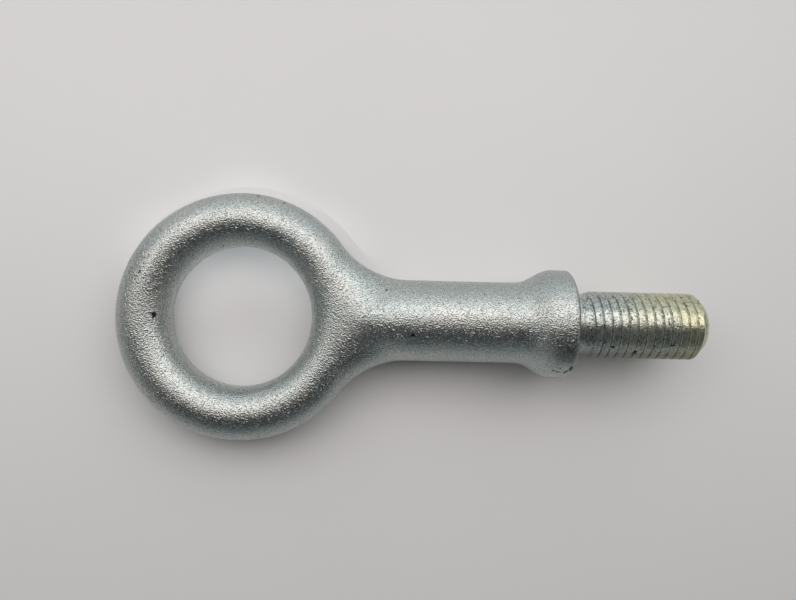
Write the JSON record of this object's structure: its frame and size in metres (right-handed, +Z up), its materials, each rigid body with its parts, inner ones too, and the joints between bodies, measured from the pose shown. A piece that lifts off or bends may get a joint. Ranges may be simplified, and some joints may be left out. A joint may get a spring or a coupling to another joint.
{
  "type": "tow eye",
  "caption": "Forged tow eye: a round ring on a short round shank that flares to a shoulder, with a threaded stud that screws into a vehicle's towing socket.",
  "frame": {"origin": "on the surface that the part lies on, under the middle of its length and width", "axes": "+Z up from that surface; +X along the part's length from the ring to the stud. The part lies on the ring's far side and on the shoulder, so the stud's own axis rises 3.8 degrees towards +X; the ring's hole runs along the ring's normal, 3.8 degrees off +Z"},
  "size_m": [0.1392, 0.0588, 0.026],
  "materials": {
    "plated_steel": "zinc plating over a shot-blasted forging"
  },
  "bodies": {
    "root": {"tow_eye": "plated_steel"}
  },
  "joints": []
}
